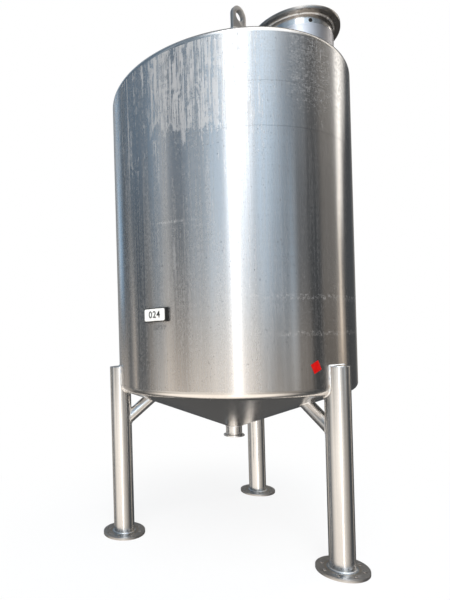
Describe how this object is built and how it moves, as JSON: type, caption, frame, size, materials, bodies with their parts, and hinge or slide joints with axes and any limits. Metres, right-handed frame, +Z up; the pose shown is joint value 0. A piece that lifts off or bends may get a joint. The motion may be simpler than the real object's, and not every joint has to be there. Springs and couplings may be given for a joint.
{
  "type": "vertical storage tank",
  "caption": "Vertical stainless storage tank with a conical bottom and clamp outlet, on braced pipe legs with round drilled feet, with an open flanged manway and lifting lugs on its roof.",
  "frame": {"origin": "on the floor, under the middle of the whole tank's box", "axes": "+Z up along the tank, -Y to the front where the nameplate is, +X towards the manway"},
  "size_m": [1.0434, 1.0935, 2.08],
  "materials": {
    "shell_steel": "rolled and brushed stainless sheet with film residue and streaks",
    "head_steel": "polished stainless, formed heads and neck",
    "pipe_steel": "bright drawn stainless pipe",
    "plate_steel": "dull stainless plate",
    "label_white": "satin white plate",
    "sticker_red": "plain red film"
  },
  "bodies": {
    "root": {"shell": "shell_steel", "roof_knuckle": "head_steel", "roof_cone": "head_steel", "bottom_knuckle": "head_steel", "bottom_cone": "head_steel", "outlet_tube": "pipe_steel", "outlet_ferrule": "pipe_steel", "manway_neck": "head_steel", "manway_flange": "plate_steel", "nameplate_bracket": "plate_steel", "nameplate": "label_white", "sticker": "sticker_red", "leg_1": "pipe_steel", "leg_cap_1": "pipe_steel", "brace_1": "pipe_steel", "foot_plate_1": "plate_steel", "lifting_lug_1": "plate_steel", "leg_2": "pipe_steel", "leg_cap_2": "pipe_steel", "brace_2": "pipe_steel", "foot_plate_2": "plate_steel", "lifting_lug_2": "plate_steel", "leg_3": "pipe_steel", "leg_cap_3": "pipe_steel", "brace_3": "pipe_steel", "foot_plate_3": "plate_steel", "lifting_lug_3": "plate_steel"}
  },
  "joints": []
}
